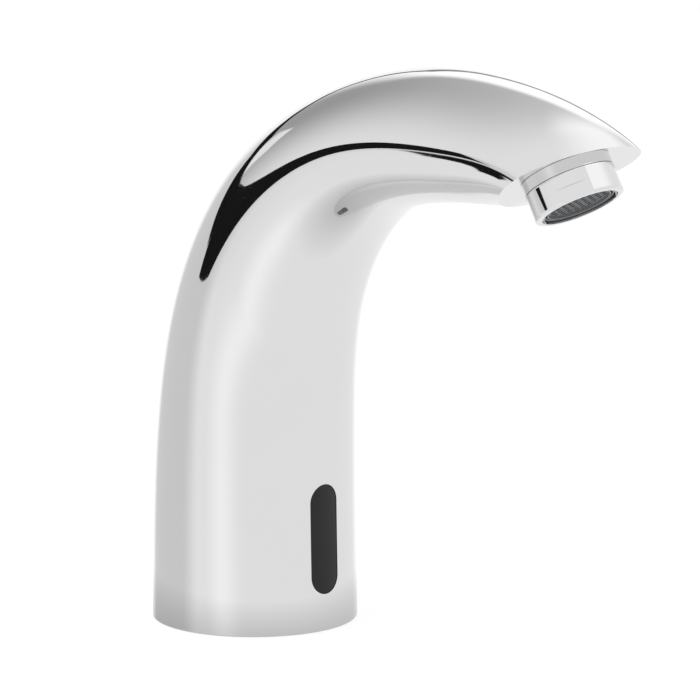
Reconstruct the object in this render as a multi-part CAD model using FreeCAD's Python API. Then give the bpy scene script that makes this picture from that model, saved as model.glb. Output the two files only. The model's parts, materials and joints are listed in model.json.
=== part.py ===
import FreeCAD, Part
import math
import os

# Sensor basin tap: a chromed cast spout on a flat base, with an infrared window in front,
# a solenoid valve and its plumbing inside, and a screw-in aerator under the lip.
# Millimetres. +Z is up, +X is the way the spout points, and the origin is the mouth of the
# stud hole, in the plane of the deck.

V = FreeCAD.Vector
UP = V(0, 0, 1)
FRONT = V(1, 0, 0)

# Fits
THREAD_GAP = 0.07       # radial, screwed pieces, drawn as plain cylinders
SEAT_GAP = 0.05         # radial, a fixed piece in its hole
FACE_GAP = 0.1          # between stacked faces that don't carry each other
LOOSE_GAP = 0.3         # round a piece that must never rub
RUNNING_GAP = 0.06      # radial, a piece that slides in its guide
SPRING_END_GAP = 0.02
OVERCUT = 1.0           # how far a cutting shape runs past the face it opens

# Spout body: outer shape
BASE_RADIUS = 30.2
OUTLET_REACH = 124.0    # base axis to the centre of the outlet face
OUTLET_RISE = 142.5     # deck to the centre of the outlet face
OUTLET_TILT = 30.0      # degrees that the water axis leans forward from straight down
BODY_WALL = 2.4
BASE_WALL = 4.2
BORE_OVER_WINDOW = 6.7  # round bore in the foot, past the top of the window
EDGE_CHAMFER = 0.25
# centre line, as shares of reach and rise, with the half height and half width of the
# section there as shares of the base radius
SPOUT_SECTIONS = (
    (0.0, 0.0, 1.0, 1.0),
    (0.0, 0.1, 0.993, 0.997),
    (0.0, 0.2, 0.982, 0.993),
    (0.008, 0.411, 0.937, 0.983),
    (0.050, 0.651, 0.838, 0.965),
    (0.181, 0.867, 0.750, 0.937),
    (0.462, 1.023, 0.651, 0.874),
    (0.788, 1.048, 0.576, 0.801),
    (1.014, 1.010, 0.452, 0.755),
    (1.164, 0.912, 0.298, 0.689),
)

# Outlet: raised boss, thread for the aerator, chamber and port behind it
OUTLET_THREAD_RADIUS = 12.0     # M24x1
OUTLET_THREAD_DEPTH = 7.0
BOSS_WALL = 0.75
BOSS_HEIGHT = 1.6
CHAMBER_STEP = 4.0              # how much narrower the chamber is than the thread
CHAMBER_DEPTH = 10.5
PORT_RADIUS = 3.0
LAND_WALL = 2.5                 # metal round the thread and the chamber
LAND_DEPTH = 13.0
PAD_RADIUS = 7.5                # flat pad on the land, where the tube's nipple screws in
PAD_BACK = 26.0                 # pad's face, behind the outlet face's centre
NIPPLE_SEAT_RADIUS = 5.0
NIPPLE_SEAT_DEPTH = 8.0
TUBE_END_RISE = 6.0             # tube's axis at the outlet, above the outlet face's centre

# Base
PLATE_THICKNESS = 8.4
LIP_HEIGHT = 2.6
SEAL_WIDTH = 2.4
STUD_RADIUS = 4.0               # M8
STUD_DEPTH = 7.0
FOOT_SCREW_RADIUS = 2.0         # M4 countersunk
FOOT_SCREW_BITE = 5.6           # length past the plate
FOOT_HEAD_RADIUS = 3.8
FOOT_HEAD_SUNK = 0.3
FOOT_HEAD_EDGE = 0.3
FOOT_BOSS_RADIUS = 4.2
FOOT_BOSS_HEIGHT = 8.1
FOOT_BOSS_ROOF = 1.0
FOOT_INSET = 6.7                # bore's wall to the screws' circle
FOOT_ANGLES = (50.0, 130.0, 230.0, 310.0)
KEY_SIZE = 2.5
KEY_DEPTH = 1.6
CABLE_Y = -18.0
CABLE_RADIUS = 3.3
GROMMET_WALL = 1.3
GROMMET_FLANGE = 1.6

# Window and sensor
WINDOW_OVER_PLATE = 2.5         # plate's top to the bottom of the window
WINDOW_HALF_WIDTH = 5.3
WINDOW_HALF_LENGTH = 16.2
WINDOW_GAP = 0.2
WINDOW_RECESS = 0.15
WINDOW_FLANGE = 2.1             # flange past the window, all round
FLANGE_DEPTH = 3.2              # bore's wall to the flange's flat back, on the centre line
GASKET_THICKNESS = 0.4
GASKET_MARGIN = 0.2
SENSOR_DEPTH = 11.0
SENSOR_HALF_WIDTH = 8.2
SENSOR_WALL = 1.6
SENSOR_FOOT = 0.3               # housing below the flange
SENSOR_HEAD = 0.6               # housing above the flange
BOARD_THICKNESS = 1.2
BOARD_BACK = 3.2                # from the back of the housing to the board
EYE_RADIUS = 2.5
EYE_BARREL = 3.4
EYE_COLLAR = 0.4
EYE_COLLAR_HEIGHT = 0.8
EYE_SPREAD = 8.7                # emitter and receiver, above and below the window's centre
STATUS_RADIUS = 1.5
STATUS_BARREL = 2.6
CHIP_SIZE = 7.0
CHIP_THICKNESS = 1.2
CHIP_DROP = 1.5
PLUG_DEPTH = 2.6
PLUG_HALF_WIDTH = 3.2
PLUG_LENGTH = 8.0
PIN_HALF_WIDTH = 2.4
PIN_HEIGHT = 4.0
PIN_RISE = 1.0                  # plug's bottom to its pins
BRACKET_THICKNESS = 1.0
BRACKET_FOOT = 8.6
BRACKET_UNDER_PLUG = 1.6        # bracket's top edge, below the plug
BRACKET_SCREW_RADIUS = 1.25
BRACKET_SCREW_SPREAD = 6.5
BRACKET_SCREW_BITE = 4.5
BRACKET_SCREW_BACK = 4.2
BRACKET_HEAD_RADIUS = 2.25
BRACKET_HEAD_HEIGHT = 1.6
HOLE_ROOT = 0.5                 # blind holes, past the tip of their screw
SCREW_KEY = 1.5
KEY_FLOOR = 0.6                 # metal under the small screws' keys

# Inlet fitting and check valve
INLET_X = -12.5
INLET_THREAD_RADIUS = 5.0       # M10x1
INLET_THREAD_DEPTH = 9.0
INLET_RECESS = 1.0
SHANK_RADIUS = 7.0              # M14x1 in the base plate
COLLAR_FLATS = 17.0
COLLAR_HEIGHT = 3.0
SPIGOT_RADIUS = 6.5
SPIGOT_HEIGHT = 7.6
ORING_SECTION = 0.55
ORING_RISE = 3.5                # collar to the ring's middle
GROOVE_SLACK = 0.15
STRAINER_RADIUS = 4.0
STRAINER_THICKNESS = 0.8
STRAINER_HOLE = 0.45
STRAINER_PITCH = 1.4
SEAT_RADIUS = 2.6
SEAT_LAND = 1.2
CHECK_BORE_RADIUS = 4.6
POPPET_RADIUS = 3.8
POPPET_THICKNESS = 1.3
POPPET_STEM_RADIUS = 1.2
POPPET_TRAVEL = 2.0
GUIDE_THICKNESS = 1.4
GUIDE_PORT_RADIUS = 1.0
CHECK_SPRING_RADIUS = 2.0
CHECK_SPRING_TURNS = 3

# Solenoid valve
VALVE_X = -7.0
VALVE_RADIUS = 13.5
NECK_RADIUS = 9.0
NECK_HEIGHT = 8.6               # collar to the floor of the valve
VALVE_HEIGHT = 11.0             # floor to the face that clamps the diaphragm
SUPPLY_RADIUS = 1.8
RING_CHAMBER_WALL = 3.0
RING_CHAMBER_DEPTH = 4.0
NOZZLE_RADIUS = 4.2
NOZZLE_BORE = 2.6
NOZZLE_DROP = 0.7
OUTLET_ARM_RADIUS = 5.0
OUTLET_ARM_HEIGHT = 8.5
OUTLET_BORE_RISE = 4.0          # floor to the cross bore's axis
EAR_RADIUS = 2.8
EAR_OFFSET = 0.7                # ears' circle, outside the valve's rim
EAR_HEIGHT = 6.0
VALVE_SCREW_RADIUS = 1.0
VALVE_SCREW_LENGTH = 10.0
VALVE_HEAD_RADIUS = 1.9
VALVE_HEAD_HEIGHT = 1.3
DIAPHRAGM_RIM = 1.2
DIAPHRAGM_EDGE = 0.5            # rim short of the valve's edge
DIAPHRAGM_THICKNESS = 1.0
DIAPHRAGM_CORE_RADIUS = 6.5
DIAPHRAGM_TRAVEL = 1.0
PILOT_RADIUS = 0.5
DISC_RADIUS = 6.0
DISC_THICKNESS = 1.2
COVER_HEIGHT = 4.3
PLUNGER_RADIUS = 4.0
PLUNGER_LENGTH = 19.8
PLUNGER_TRAVEL = 1.5
SEAL_TIP_RADIUS = 2.2
SEAL_TIP_LENGTH = 1.6
SPRING_WIRE = 0.3
SPRING_POCKET_RADIUS = 2.6
SPRING_POCKET_DEPTH = 7.0
PLUNGER_SPRING_RADIUS = 2.0
PLUNGER_SPRING_TURNS = 6
CORE_TUBE_WALL = 0.5
CORE_TUBE_PROUD = 0.2           # core tube past its nut
CORE_FLANGE_RADIUS = 7.5
CORE_FLANGE_THICKNESS = 1.0
COIL_RADIUS = 10.5
COIL_LENGTH = 19.0
YOKE_THICKNESS = 1.2
YOKE_HALF_WIDTH = 7.0
NUT_FLATS = 12.0
NUT_HEIGHT = 2.6
TERMINAL_HALF_WIDTH = 4.0
TERMINAL_REACH = 15.0
TERMINAL_RISE = 7.1             # coil's bottom to the terminal's top
TERMINAL_HEIGHT = 5.0

# Water tube and valve lead
TUBE_RADIUS = 4.5
TUBE_BORE = 3.0
NIPPLE_BORE = 2.1
NIPPLE_LENGTH = 10.0
NIPPLE_COVER = 8.0              # length of nipple inside the tube
NIPPLE_SHOULDER = 1.5
CLAMP_WIDTH = 6.0
CLAMP_THICKNESS = 0.8
CLAMP_INSET = 1.0
TUBE_UPRIGHT = 27.0             # straight up from the valve's arm
# the tube's way up through the column, as shares of reach, of the arm's offset and of rise
TUBE_WAY = ((-0.031, 0.65, 0.646), (0.137, 0.23, 0.860), (0.387, 0.0, 1.014))
TUBE_LEVEL_SHARE = 0.573        # of reach: from here on it runs level
BEND_SHARE = 0.45
LEAD_RADIUS = 1.2
LEAD_RISE = 12.0
LEAD_ARCH = 8.0
LEAD_INSET = 2.3                # terminal's end to the lead

# Aerator, along the water axis from the outlet face
AERATOR_WALL = 0.9              # past the thread
AERATOR_END = 9.6
AERATOR_SHOULDER_GAP = 0.1
BORE_STEP = 1.15                # thread to the bore, then to the mouth and the ledge
MOUTH_STEP = 1.0
LEDGE_STEP = 1.7
LEDGE_DEPTH = 6.9
LEDGE_THICKNESS = 0.8
FLAT_INSET = 0.8                # depth of the spanner flats
FLAT_HEIGHT = 4.1
FLAT_DIRECTION = 48.5           # degrees round the water axis, from its upper side
RIM_ROUND = 0.7
RIM_KNEE = 0.3                  # where the rim's round turns, as a share of it
GROOVE_CHAMFER = 0.2
TRAVEL_OUT = 7.5                # unscrewing, a millimetre a turn, till the thread leaves the boss
CUP_GAP = 0.15                  # radial, between the cartridge and its housing
CUP_WALL = 1.8
CUP_TOP = -3.6
NOSE_GAP = 0.2                  # radial, between the nose and the ledge
NOSE_WALL = 0.35
NOSE_END = 8.9
INNER_WALL = 0.4
RING_GROOVE_DEPTH = 1.4
GRID_FACE = 8.2
GRID_THICKNESS = 1.7
GRID_EDGE = 0.5
CELL_MARGIN = 0.9
CELL_LENGTH = 1.9
CELL_WIDTH = 1.35
GRID_RIB = 0.32
SCREEN_THICKNESS = 0.3
SCREEN_DEPTHS = (5.5, 4.3)
SCREEN_HOLE = 0.5
SCREEN_PITCH = 1.8
JET_PLATE_TOP = 0.9
JET_PLATE_THICKNESS = 1.6
JET_WELL_RADIUS = 3.0
JET_WELL_DEPTH = 0.8
JET_RADIUS = 0.45
JET_RINGS = ((4.4, 12), (6.6, 18))
REGULATOR_TOP = -2.3
REGULATOR_LENGTH = 2.0
REGULATOR_BORE = 3.4
REGULATOR_GROOVE = (4.6, 7.4)
REGULATOR_FLOOR = 0.7           # thickness under the ring's groove
REGULATOR_HOLE = 0.6
REGULATOR_HOLES = 8
REGULATOR_HOLE_CIRCLE = 6.0
POST_RADIUS = 1.6
POST_RISE = 2.2
SPOKE_HALF_WIDTH = 0.6
SPOKE_REACH = 4.0
RING_RADIUS = 5.75
RING_SECTION = 0.9
BASKET_DEPTH = 1.9
BASKET_WALL = 0.6
BASKET_RADIUS = 7.0
BASKET_RIM = 0.8
BASKET_HOLE = 0.4
BASKET_RINGS = ((0.0, 1), (2.0, 6), (4.0, 12), (5.8, 18))
WASHER_WIDTH = 3.3

# Worked out from the sizes above
BORE_RADIUS = BASE_RADIUS - BASE_WALL
FOOT_CIRCLE = BORE_RADIUS - FOOT_INSET
FOOT_SCREW_TOP = PLATE_THICKNESS + FOOT_SCREW_BITE
FOOT_BOSS_TOP = PLATE_THICKNESS + FOOT_BOSS_HEIGHT
WINDOW_HEIGHT = PLATE_THICKNESS + WINDOW_OVER_PLATE + WINDOW_HALF_LENGTH
FLANGE_HALF_LENGTH = WINDOW_HALF_LENGTH + WINDOW_FLANGE
FLANGE_BACK = BORE_RADIUS - FLANGE_DEPTH
BORE_HEIGHT = WINDOW_HEIGHT + WINDOW_HALF_LENGTH + BORE_OVER_WINDOW
SENSOR_FRONT = FLANGE_BACK - SEAT_GAP
SENSOR_BACK = SENSOR_FRONT - SENSOR_DEPTH
SENSOR_BOTTOM = WINDOW_HEIGHT - FLANGE_HALF_LENGTH - SENSOR_FOOT
SENSOR_TOP = WINDOW_HEIGHT + FLANGE_HALF_LENGTH + SENSOR_HEAD
BOARD_FACE = SENSOR_BACK + BOARD_BACK + BOARD_THICKNESS
BRACKET_FACE = SENSOR_BACK - FACE_GAP
BRACKET_SCREW_X = BRACKET_FACE - BRACKET_THICKNESS - BRACKET_SCREW_BACK

COLLAR_TOP = PLATE_THICKNESS + COLLAR_HEIGHT
SPIGOT_TOP = COLLAR_TOP + SPIGOT_HEIGHT
STRAINER_Z = INLET_RECESS + INLET_THREAD_DEPTH
SEAT_Z = STRAINER_Z + STRAINER_THICKNESS + 2 * FACE_GAP + SEAT_LAND
GUIDE_Z = SPIGOT_TOP - GUIDE_THICKNESS
POPPET_BOTTOM = SEAT_Z + FACE_GAP
POPPET_TOP = POPPET_BOTTOM + POPPET_THICKNESS
STEM_TOP = GUIDE_Z + GUIDE_THICKNESS / 2
SOCKET_TOP = STEM_TOP + POPPET_TRAVEL + 2 * FACE_GAP

VALVE_FLOOR = COLLAR_TOP + NECK_HEIGHT
VALVE_CLAMP = VALVE_FLOOR + VALVE_HEIGHT
RING_CHAMBER_RADIUS = VALVE_RADIUS - RING_CHAMBER_WALL
SUPPLY_X = VALVE_X - (RING_CHAMBER_RADIUS + NOZZLE_RADIUS) / 2
OUTLET_ARM_TOP = VALVE_FLOOR + OUTLET_ARM_HEIGHT
OUTLET_BORE_HEIGHT = VALVE_FLOOR + OUTLET_BORE_RISE
CLAMP_BORE = TUBE_RADIUS + SEAT_GAP
OUTLET_ARM_Y = VALVE_RADIUS + CLAMP_BORE + CLAMP_THICKNESS + LOOSE_GAP + SEAT_GAP
NOZZLE_TOP = VALVE_CLAMP - NOZZLE_DROP
DIAPHRAGM_BOTTOM = NOZZLE_TOP + FACE_GAP
DISC_BOTTOM = DIAPHRAGM_BOTTOM + DIAPHRAGM_THICKNESS
DISC_TOP = DISC_BOTTOM + DISC_THICKNESS
COVER_BOTTOM = VALVE_CLAMP + DIAPHRAGM_RIM
COVER_ROOF = DISC_TOP + DIAPHRAGM_TRAVEL + 2 * FACE_GAP
COVER_TOP = COVER_BOTTOM + COVER_HEIGHT
PLUNGER_BOTTOM = DISC_TOP + SEAT_GAP + SEAL_TIP_LENGTH
PLUNGER_TOP = PLUNGER_BOTTOM + PLUNGER_LENGTH
SPRING_POCKET_FLOOR = PLUNGER_TOP - SPRING_POCKET_DEPTH
CORE_BOTTOM = PLUNGER_TOP + PLUNGER_TRAVEL + LOOSE_GAP
CORE_TUBE_BORE = PLUNGER_RADIUS + RUNNING_GAP
CORE_TUBE_RADIUS = CORE_TUBE_BORE + CORE_TUBE_WALL
YOKE_BOTTOM = COVER_TOP + CORE_FLANGE_THICKNESS + FACE_GAP
COIL_BOTTOM = YOKE_BOTTOM + YOKE_THICKNESS + FACE_GAP
COIL_TOP = COIL_BOTTOM + COIL_LENGTH
YOKE_TOP = COIL_TOP + FACE_GAP + YOKE_THICKNESS
NUT_TOP = YOKE_TOP + NUT_HEIGHT
CORE_TUBE_TOP = NUT_TOP + CORE_TUBE_PROUD
TERMINAL_TOP = COIL_BOTTOM + TERMINAL_RISE
PLUG_BOTTOM = TERMINAL_TOP - PLUG_LENGTH
PIN_BOTTOM = PLUG_BOTTOM + PIN_RISE
BRACKET_TOP = PLUG_BOTTOM - BRACKET_UNDER_PLUG

BOSS_RADIUS = OUTLET_THREAD_RADIUS + BOSS_WALL
CHAMBER_RADIUS = OUTLET_THREAD_RADIUS - CHAMBER_STEP
LAND_RADIUS = OUTLET_THREAD_RADIUS + LAND_WALL
PAD_X = OUTLET_REACH - PAD_BACK
TUBE_END_Z = OUTLET_RISE + TUBE_END_RISE
AERATOR_RADIUS = OUTLET_THREAD_RADIUS + AERATOR_WALL
AERATOR_THREAD = TRAVEL_OUT + FACE_GAP - BOSS_HEIGHT
AERATOR_BORE = OUTLET_THREAD_RADIUS - BORE_STEP
AERATOR_MOUTH = OUTLET_THREAD_RADIUS - MOUTH_STEP
AERATOR_LEDGE = OUTLET_THREAD_RADIUS - LEDGE_STEP
LEDGE_END = LEDGE_DEPTH + LEDGE_THICKNESS
CUP_RADIUS = AERATOR_BORE - CUP_GAP
CUP_BORE = CUP_RADIUS - CUP_WALL
INSERT_RADIUS = CUP_BORE - SEAT_GAP
NOSE_RADIUS = AERATOR_LEDGE - NOSE_GAP
REGULATOR_END = REGULATOR_TOP + REGULATOR_LENGTH


def add_section(share_x, share_z, height_share, width_share, tangent, inset):
    centre = V(share_x * OUTLET_REACH, 0, share_z * OUTLET_RISE)
    normal = V(-tangent.z, 0, tangent.x)
    half_height = height_share * BASE_RADIUS - inset
    half_width = width_share * BASE_RADIUS - inset
    # a hair wider than high, so that the ellipse has one clear long axis
    side = centre + V(0, max(half_width, half_height + 0.001), 0)
    return Part.Wire(Part.Ellipse(side, centre + normal * half_height, centre).toShape())


def spout_solid(inset):
    """Smooth skin through the sections, drawn in by inset."""
    points = [V(s[0] * OUTLET_REACH, 0, s[1] * OUTLET_RISE) for s in SPOUT_SECTIONS]
    spine = Part.BSplineCurve()
    spine.interpolate(Points=points, InitialTangent=UP, FinalTangent=points[-1] - points[-2])
    wires = []
    for point, section in zip(points, SPOUT_SECTIONS):
        tangent = spine.tangent(spine.parameter(point))[0]
        wires.append(add_section(*section, tangent, inset))
    return Part.makeLoft(wires, True, False)


def rod(radius, bottom, top, x=0.0, y=0.0):
    return Part.makeCylinder(radius, top - bottom, V(x, y, bottom))


def through(radius, bottom, top, x=0.0, y=0.0):
    """Cutting rod that runs past both of its ends."""
    return rod(radius, bottom - OVERCUT, top + OVERCUT, x, y)


def tube(outer, inner, bottom, top, x=0.0, y=0.0):
    return rod(outer, bottom, top, x, y).cut(through(inner, bottom, top, x, y))


def level_rod(radius, x, z, length):
    """Rod along X at a height, from x forward."""
    return Part.makeCylinder(radius, length, V(x, 0, z), FRONT)


def block(x0, x1, y0, y1, z0, z1):
    return Part.makeBox(x1 - x0, y1 - y0, z1 - z0, V(x0, y0, z0))


def hexagon(flats, bottom, top, x=0.0, y=0.0):
    radius = flats / 2 / math.cos(math.radians(30))
    corners = []
    for i in range(7):
        angle = math.radians(60 * i + 30)
        corners.append(V(x + radius * math.cos(angle), y + radius * math.sin(angle), bottom))
    return Part.Face(Part.makePolygon(corners)).extrude(V(0, 0, top - bottom))


def turned(profile, x=0.0, y=0.0):
    """Solid of revolution about a vertical axis, from (radius, height) points."""
    points = [V(x + r, y, z) for r, z in profile]
    points.append(points[0])
    return Part.Face(Part.makePolygon(points)).revolve(V(x, y, 0), UP, 360)


def torus(ring_radius, section_radius, z, x=0.0, y=0.0):
    return Part.makeTorus(ring_radius, section_radius, V(x, y, z))


def slot_prism(half_width, half_length, x0, x1):
    """Round-ended bar along X, standing upright about the window's centre."""
    top = WINDOW_HEIGHT + half_length - half_width
    bottom = WINDOW_HEIGHT - half_length + half_width
    edges = [
        Part.LineSegment(V(x0, half_width, bottom), V(x0, half_width, top)).toShape(),
        Part.Arc(V(x0, half_width, top), V(x0, 0, top + half_width),
                 V(x0, -half_width, top)).toShape(),
        Part.LineSegment(V(x0, -half_width, top), V(x0, -half_width, bottom)).toShape(),
        Part.Arc(V(x0, -half_width, bottom), V(x0, 0, bottom - half_width),
                 V(x0, half_width, bottom)).toShape(),
    ]
    return Part.Face(Part.Wire(edges)).extrude(V(x1 - x0, 0, 0))


def fused(pieces):
    return pieces[0].multiFuse(pieces[1:]) if len(pieces) > 1 else pieces[0]


def water_frame():
    """Placement whose +Z is the water axis, leaving the outlet face, and +X its upper side."""
    tilt = math.radians(OUTLET_TILT)
    along = V(math.cos(tilt), 0, math.sin(tilt))
    axis = V(math.sin(tilt), 0, -math.cos(tilt))
    matrix = FreeCAD.Matrix(along.x, 0, axis.x, OUTLET_REACH,
                            along.y, -1, axis.y, 0,
                            along.z, 0, axis.z, OUTLET_RISE,
                            0, 0, 0, 1)
    return FreeCAD.Placement(matrix)


def at_outlet(shape):
    placed = shape.copy()
    placed.Placement = water_frame().multiply(placed.Placement)
    return placed


def swept(points, radius, bore=0.0):
    """Round bar along straight runs joined by tangent arcs, with a bore if given."""
    edges = []
    start = points[0]
    for before, corner, after in zip(points, points[1:], points[2:]):
        run_in = corner - before
        run_out = after - corner
        half_turn = run_in.getAngle(run_out) / 2
        cut = BEND_SHARE * min(run_in.Length, run_out.Length)
        bend = cut / math.tan(half_turn)
        into = V(run_in).normalize()
        out = V(run_out).normalize()
        first = corner - into * cut
        last = corner + out * cut
        inward = (out - into).normalize()
        middle = corner + inward * (bend / math.cos(half_turn) - bend)
        edges.append(Part.LineSegment(start, first).toShape())
        edges.append(Part.Arc(first, middle, last).toShape())
        start = last
        print("bend radius", round(bend, 1))
    edges.append(Part.LineSegment(start, points[-1]).toShape())
    path = Part.Wire(edges)
    print("length", round(path.Length, 1))
    heading = points[1] - points[0]

    def bar(size):
        ring = Part.Wire(Part.makeCircle(size, points[0], heading))
        return path.makePipeShell([ring], True, False)

    return bar(radius).cut(bar(bore)) if bore else bar(radius)


def spring(radius, bottom, top, turns, x=0.0, y=0.0):
    """Coil spring as one unbroken round wire, on arcs of a quarter turn."""
    steps = int(turns * 4)
    rise = (top - bottom - 2 * SPRING_WIRE) / steps

    def at(step):
        angle = math.pi / 2 * step
        return V(x + radius * math.cos(angle), y + radius * math.sin(angle),
                 bottom + SPRING_WIRE + rise * step)

    arcs = [Part.Arc(at(i), at(i + 0.5), at(i + 1)).toShape() for i in range(steps)]
    path = Part.Wire(arcs)
    print("spring gap", round(4 * rise - 2 * SPRING_WIRE, 2))
    ring = Part.Wire(Part.makeCircle(SPRING_WIRE, at(0), arcs[0].tangentAt(arcs[0].FirstParameter)))
    return path.makePipeShell([ring], True, False)


def ring_of(radius, count, start=0.0):
    """Points evenly round the Z axis."""
    turns = [2 * math.pi * i / count + start for i in range(count)]
    return [V(radius * math.cos(turn), radius * math.sin(turn), 0) for turn in turns]


def foot_points():
    return [V(FOOT_CIRCLE * math.cos(math.radians(a)), FOOT_CIRCLE * math.sin(math.radians(a)), 0)
            for a in FOOT_ANGLES]


def ear_points():
    return [V(VALVE_X, 0, 0) + p for p in ring_of(VALVE_RADIUS + EAR_OFFSET, 4, math.pi / 4)]


def headed_screw(radius, tip, face, head_radius, head_height, x, y):
    """Cap screw, head up, with a hexagon key hole."""
    screw = rod(radius, tip, face, x, y).fuse(rod(head_radius, face, face + head_height, x, y))
    return screw.cut(hexagon(SCREW_KEY, face + KEY_FLOOR, face + head_height + OVERCUT, x, y))


# Spout body

def spout_body():
    reach = 3 * OUTLET_REACH
    below_face = at_outlet(block(-reach, reach, -reach, reach, 0, reach))
    lip = block(PAD_X, reach, -reach, reach, -reach, reach)
    body = spout_solid(0).cut(below_face.common(lip))
    body = body.cut(block(-reach, reach, -reach, reach, -reach, 0))
    rims = [e for e in body.Edges if abs(e.BoundBox.ZMax) < 0.01 and abs(e.BoundBox.ZMin) < 0.01]
    body = body.makeChamfer(EDGE_CHAMFER, rims)
    body = body.fuse(at_outlet(rod(BOSS_RADIUS, -BODY_WALL, BOSS_HEIGHT)))

    face_wall = at_outlet(block(-reach, reach, -reach, reach, -BODY_WALL, reach)).common(lip)
    land = at_outlet(rod(LAND_RADIUS, -LAND_DEPTH, 0))
    pad = level_rod(PAD_RADIUS, PAD_X, TUBE_END_Z, LAND_RADIUS)
    hollow = spout_solid(BODY_WALL).cut([face_wall, land, pad])
    hollow = hollow.common(block(-reach, reach, -reach, reach, BORE_HEIGHT - BODY_WALL, reach))
    body = body.cut(hollow).cut(rod(BORE_RADIUS, -OVERCUT, BORE_HEIGHT))
    body = body.cut(slot_prism(WINDOW_HALF_WIDTH, WINDOW_HALF_LENGTH, 0, 2 * BASE_RADIUS))

    bosses = []
    for point, angle in zip(foot_points(), FOOT_ANGLES):
        web = block(0, BASE_RADIUS - FOOT_CIRCLE, -FOOT_BOSS_RADIUS, FOOT_BOSS_RADIUS,
                    PLATE_THICKNESS, FOOT_BOSS_TOP)
        web.rotate(V(0, 0, 0), UP, angle)
        web.translate(point)
        bosses.append(web.fuse(rod(FOOT_BOSS_RADIUS, PLATE_THICKNESS, FOOT_BOSS_TOP, point.x, point.y)))
    bosses = fused(bosses).common(rod(BORE_RADIUS + BASE_WALL / 2, 0, FOOT_BOSS_TOP))
    body = body.fuse(bosses)
    for point in foot_points():
        body = body.cut(rod(FOOT_SCREW_RADIUS + SEAT_GAP, PLATE_THICKNESS - OVERCUT,
                            FOOT_BOSS_TOP - FOOT_BOSS_ROOF, point.x, point.y))

    body = body.cut(at_outlet(rod(OUTLET_THREAD_RADIUS, -OUTLET_THREAD_DEPTH, BOSS_HEIGHT + OVERCUT)))
    body = body.cut(at_outlet(rod(CHAMBER_RADIUS, -CHAMBER_DEPTH, -OUTLET_THREAD_DEPTH)))
    seat = level_rod(NIPPLE_SEAT_RADIUS, PAD_X, TUBE_END_Z, NIPPLE_SEAT_DEPTH)
    port = level_rod(PORT_RADIUS, PAD_X, TUBE_END_Z, PAD_BACK - NIPPLE_SEAT_RADIUS)
    return body.cut(seat).cut(port)


# Base: plate, seal, screws, cable grommet

def base_plate():
    lip = BORE_RADIUS - SEAL_WIDTH
    plate = rod(BORE_RADIUS - FACE_GAP, LIP_HEIGHT, PLATE_THICKNESS).fuse(rod(lip, 0, LIP_HEIGHT))
    plate = plate.cut(rod(STUD_RADIUS, -OVERCUT, STUD_DEPTH))
    plate = plate.cut(through(SHANK_RADIUS + THREAD_GAP, 0, PLATE_THICKNESS, INLET_X))
    plate = plate.cut(through(CABLE_RADIUS + GROMMET_WALL + SEAT_GAP, 0, PLATE_THICKNESS, 0, CABLE_Y))
    for point in foot_points():
        plate = plate.cut(foot_screw_hole(point))
    for side in (-1, 1):
        tip = PLATE_THICKNESS - BRACKET_SCREW_BITE - HOLE_ROOT
        plate = plate.cut(rod(BRACKET_SCREW_RADIUS + SEAT_GAP, tip, PLATE_THICKNESS + OVERCUT,
                              BRACKET_SCREW_X, side * BRACKET_SCREW_SPREAD))
    return plate


def base_seal():
    return tube(BORE_RADIUS - FACE_GAP, BORE_RADIUS - SEAL_WIDTH + FACE_GAP, 0, LIP_HEIGHT)


def countersunk(point, gap, bottom, top):
    """Countersunk screw's outline, head down, as the screw itself or as its hole."""
    head = FOOT_HEAD_RADIUS + gap
    shank = FOOT_SCREW_RADIUS + gap
    edge = FOOT_HEAD_SUNK + FOOT_HEAD_EDGE
    cone = edge + FOOT_HEAD_RADIUS - FOOT_SCREW_RADIUS
    return turned([(0, bottom), (head, bottom), (head, edge), (shank, cone), (shank, top), (0, top)],
                  point.x, point.y)


def foot_screw(point):
    screw = countersunk(point, 0, FOOT_HEAD_SUNK, FOOT_SCREW_TOP)
    return screw.cut(hexagon(KEY_SIZE, 0, FOOT_HEAD_SUNK + KEY_DEPTH, point.x, point.y))


def foot_screw_hole(point):
    return countersunk(point, SEAT_GAP, -OVERCUT, PLATE_THICKNESS + OVERCUT)


def cable_grommet():
    outer = CABLE_RADIUS + GROMMET_WALL
    top = PLATE_THICKNESS + GROMMET_FLANGE
    body = rod(outer, 0, top, 0, CABLE_Y)
    body = body.fuse(rod(outer + GROMMET_FLANGE, PLATE_THICKNESS, top, 0, CABLE_Y))
    return body.cut(through(CABLE_RADIUS, 0, top, 0, CABLE_Y))


# Inlet fitting and check valve

def inlet_fitting():
    fitting = fused([
        rod(SHANK_RADIUS, INLET_RECESS, PLATE_THICKNESS, INLET_X),
        hexagon(COLLAR_FLATS, PLATE_THICKNESS, COLLAR_TOP, INLET_X),
        rod(SPIGOT_RADIUS, COLLAR_TOP, SPIGOT_TOP, INLET_X),
    ])
    fitting = fitting.cut(rod(INLET_THREAD_RADIUS, 0, STRAINER_Z, INLET_X))
    fitting = fitting.cut(rod(STRAINER_RADIUS, STRAINER_Z, SEAT_Z - SEAT_LAND, INLET_X))
    fitting = fitting.cut(rod(SEAT_RADIUS, SEAT_Z - SEAT_LAND, SEAT_Z, INLET_X))
    fitting = fitting.cut(rod(CHECK_BORE_RADIUS, SEAT_Z, SPIGOT_TOP + OVERCUT, INLET_X))
    middle = COLLAR_TOP + ORING_RISE
    half = ORING_SECTION + GROOVE_SLACK
    floor = SPIGOT_RADIUS - 2 * ORING_SECTION - SEAT_GAP
    return fitting.cut(tube(SPIGOT_RADIUS + OVERCUT, floor, middle - half, middle + half, INLET_X))


def inlet_oring():
    return torus(SPIGOT_RADIUS + SEAT_GAP / 2 - ORING_SECTION, ORING_SECTION, COLLAR_TOP + ORING_RISE,
                 INLET_X)


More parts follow.
